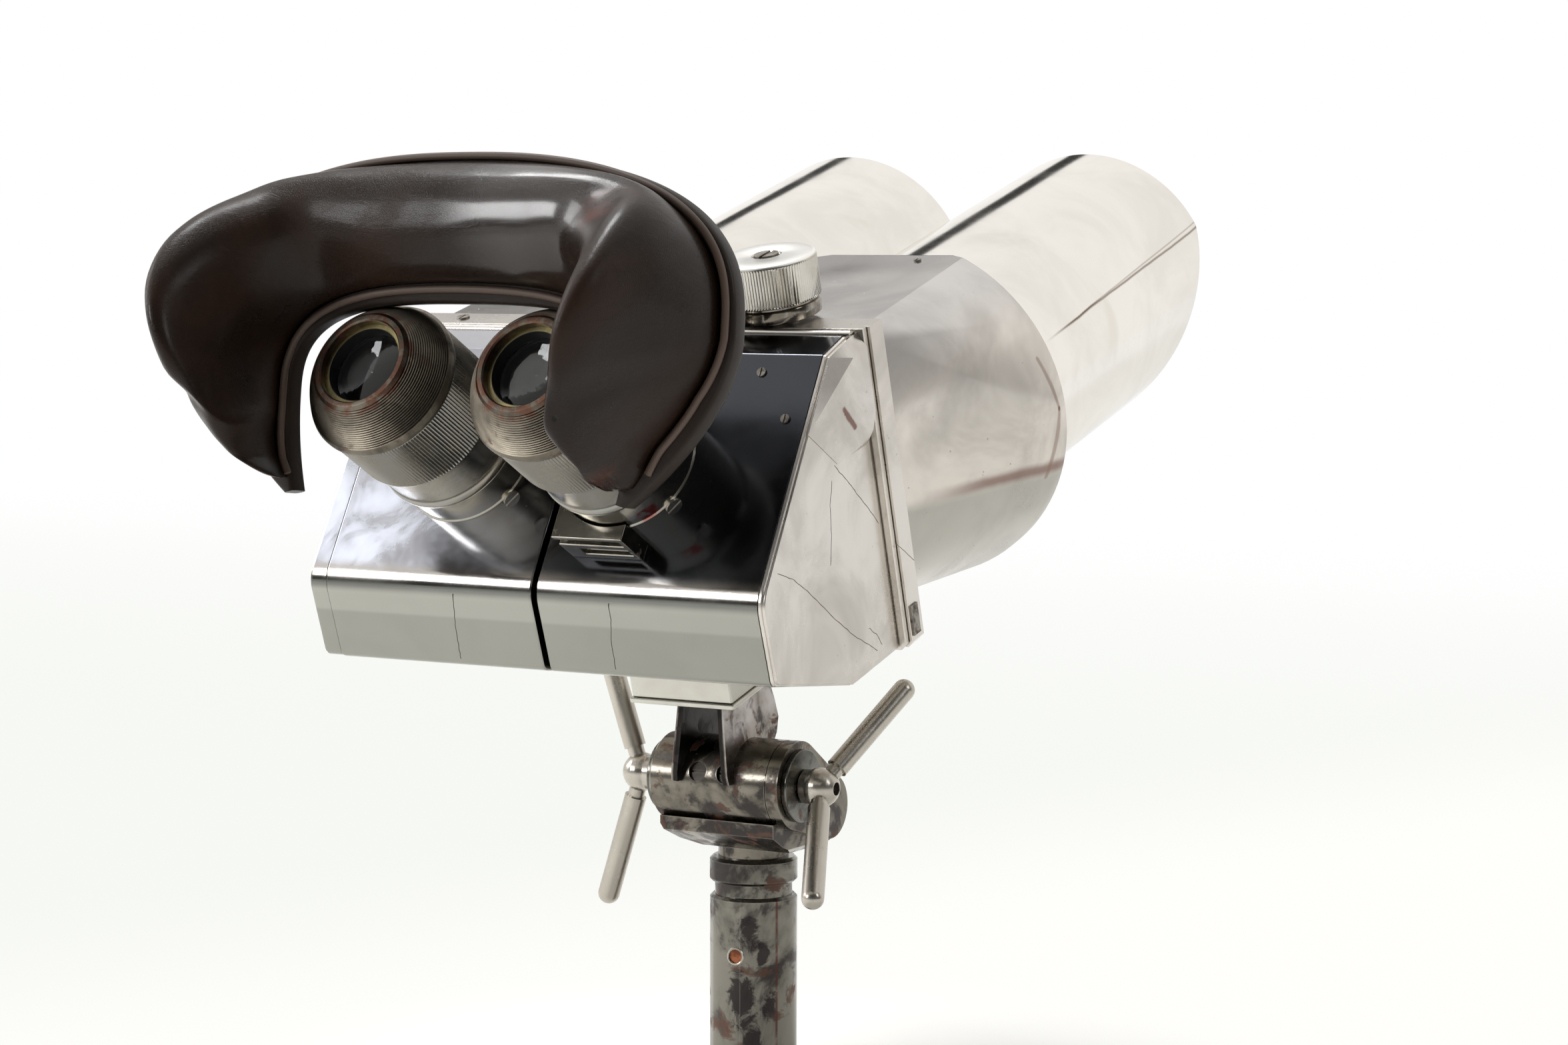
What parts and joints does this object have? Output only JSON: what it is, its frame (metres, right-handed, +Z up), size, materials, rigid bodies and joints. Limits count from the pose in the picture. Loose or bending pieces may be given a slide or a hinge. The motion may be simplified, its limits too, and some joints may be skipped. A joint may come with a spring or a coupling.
{
  "type": "mounted observation binoculars",
  "caption": "Large twin-tube binoculars with upward-inclined eyepieces, padded headrest and slide-out sunshades, on a clamped tilt head and post.",
  "frame": {"origin": "centre of the post's lower end, at the mouth of its bore", "axes": "+Z up along the post, +Y the heading of the objectives, +X to the observer's right"},
  "size_m": [0.2396, 0.4299, 0.3577],
  "materials": {
    "dark_steel": "dark corroded steel with bright wear",
    "satin_steel": "satin nickel-plated steel",
    "grey_steel": "bare grey steel",
    "polished_aluminium": "hand-polished bare casting with pits",
    "sunshade_aluminium": "polished sheet tube",
    "nickel": "worn nickel plating",
    "worn_steel": "turned steel with rust at the rim",
    "brass": "dull brass",
    "copper": "dull copper",
    "black_rubber": "matt",
    "black_paint": "matt black",
    "lens_glass": "polished",
    "leather": "worn dark brown, glossy",
    "welt_leather": "worn edge"
  },
  "bodies": {
    "stand": {"post": "dark_steel", "post_plug": "copper"},
    "head": {"tilt_head": "dark_steel", "tilt_bolt": "satin_steel", "friction_washers": "grey_steel"},
    "clamp_right": {"clamp_hub_right": "satin_steel", "clamp_arms_right": "satin_steel"},
    "clamp_left": {"clamp_hub_left": "satin_steel", "clamp_arms_left": "satin_steel"},
    "scope": {"tilt_barrel": "dark_steel", "fork": "dark_steel", "fork_screws": "grey_steel", "foot_block": "polished_aluminium", "foot_plate": "dark_steel", "prism_housing_right": "polished_aluminium", "prism_housing_left": "polished_aluminium", "side_plate_right": "polished_aluminium", "side_plate_left": "polished_aluminium", "ear_covers": "polished_aluminium", "flange_right": "polished_aluminium", "flange_left": "polished_aluminium", "top_ribs": "polished_aluminium", "drum_right": "polished_aluminium", "drum_left": "polished_aluminium", "seal_rings": "black_rubber", "objective_tube_right": "black_paint", "objective_tube_left": "black_paint", "objective_cells": "black_paint", "objective_lens_right": "lens_glass", "objective_lens_left": "lens_glass", "prism_right": "lens_glass", "prism_left": "lens_glass", "wheel_pins": "grey_steel", "eye_base_right": "nickel", "eye_base_left": "nickel", "base_screws": "brass", "slot_bracket": "polished_aluminium", "headrest_clamp": "polished_aluminium", "cover_screws": "grey_steel", "corner_latch": "grey_steel"},
    "sunshade_right": {"sunshade_right": "sunshade_aluminium"},
    "sunshade_left": {"sunshade_left": "sunshade_aluminium"},
    "filter_knob": {"filter_knob": "nickel", "knob_shaft": "satin_steel", "knob_screw": "grey_steel"},
    "filter_wheel_right": {"filter_wheel_right": "black_paint"},
    "filter_wheel_left": {"filter_wheel_left": "black_paint"},
    "focus_right": {"focus_ring_right": "nickel", "eyecup_right": "worn_steel"},
    "focus_left": {"focus_ring_left": "nickel", "eyecup_left": "worn_steel"},
    "eye_cell_right": {"eye_cell_right": "brass", "eye_lens_right": "lens_glass"},
    "eye_cell_left": {"eye_cell_left": "brass", "eye_lens_left": "lens_glass"},
    "headrest": {"headrest_pad": "leather", "headrest_band": "leather", "headrest_welt": "welt_leather", "headrest_support": "grey_steel"},
    "thumbscrew": {"clamp_thumbscrew": "satin_steel"}
  },
  "joints": [
    {"name": "pan", "type": "hinge", "parent": "stand", "child": "head", "pos_m": [0, 0, 0.0905], "axis": [0, 0, 1], "continuous": true},
    {"name": "tilt", "type": "hinge", "parent": "head", "child": "scope", "pos_m": [0, -0.0195, 0.1217], "axis": [1, 0, 0], "range_deg": [-36, 48]},
    {"name": "clamp_right_turn", "type": "hinge", "parent": "head", "child": "clamp_right", "pos_m": [0.038, -0.0195, 0.1217], "axis": [1, 0, 0], "range_deg": [-50, 50]},
    {"name": "clamp_left_turn", "type": "hinge", "parent": "head", "child": "clamp_left", "pos_m": [-0.038, -0.0195, 0.1217], "axis": [1, 0, 0], "range_deg": [-50, 50]},
    {"name": "sunshade_right_slide", "type": "slide", "parent": "scope", "child": "sunshade_right", "axis": [0, 0.9598, 0.2807], "range_m": [-0.02, 0]},
    {"name": "sunshade_left_slide", "type": "slide", "parent": "scope", "child": "sunshade_left", "axis": [0, 0.9598, 0.2807], "range_m": [-0.02, 0]},
    {"name": "filter_knob_turn", "type": "hinge", "parent": "scope", "child": "filter_knob", "pos_m": [0.0514, -0.0737, 0.29672], "axis": [0, -0.2807, 0.9598], "range_deg": [0, 270]},
    {"name": "filter_wheel_right_turn", "type": "hinge", "parent": "scope", "child": "filter_wheel_right", "pos_m": [0.055, -0.0649, 0.2545], "axis": [0, 0.9598, 0.2807], "range_deg": [0, 270]},
    {"name": "filter_wheel_left_turn", "type": "hinge", "parent": "scope", "child": "filter_wheel_left", "pos_m": [-0.055, -0.0649, 0.2545], "axis": [0, 0.9598, 0.2807], "range_deg": [-270, 0]},
    {"name": "focus_right_turn", "type": "hinge", "parent": "scope", "child": "focus_right", "pos_m": [0.0326, -0.1277, 0.24138], "axis": [0, -0.8771, 0.4802], "range_deg": [-70.5, 70.5]},
    {"name": "focus_left_turn", "type": "hinge", "parent": "scope", "child": "focus_left", "pos_m": [-0.0326, -0.1277, 0.24138], "axis": [0, -0.8771, 0.4802], "range_deg": [-70.5, 70.5]},
    {"name": "eye_cell_right_slide", "type": "slide", "parent": "scope", "child": "eye_cell_right", "axis": [0, -0.8771, 0.4802], "range_m": [-0.0025, 0.0025]},
    {"name": "eye_cell_left_slide", "type": "slide", "parent": "scope", "child": "eye_cell_left", "axis": [0, -0.8771, 0.4802], "range_m": [-0.0025, 0.0025]},
    {"name": "headrest_slide", "type": "slide", "parent": "scope", "child": "headrest", "axis": [0, -0.9951, 0.0993], "range_m": [0, 0.012]},
    {"name": "thumbscrew_turn", "type": "hinge", "parent": "scope", "child": "thumbscrew", "pos_m": [0.012, -0.08163, 0.30639], "axis": [1, 0, 0], "range_deg": [-180, 180]}
  ],
  "couplings": [
    {"joint": "filter_wheel_right_turn", "follows": "filter_knob_turn", "ratio": 1},
    {"joint": "filter_wheel_left_turn", "follows": "filter_knob_turn", "ratio": -1},
    {"joint": "focus_right_turn", "follows": "eye_cell_right_slide", "rad_per_m": 488.7},
    {"joint": "focus_left_turn", "follows": "eye_cell_left_slide", "rad_per_m": 488.7}
  ]
}
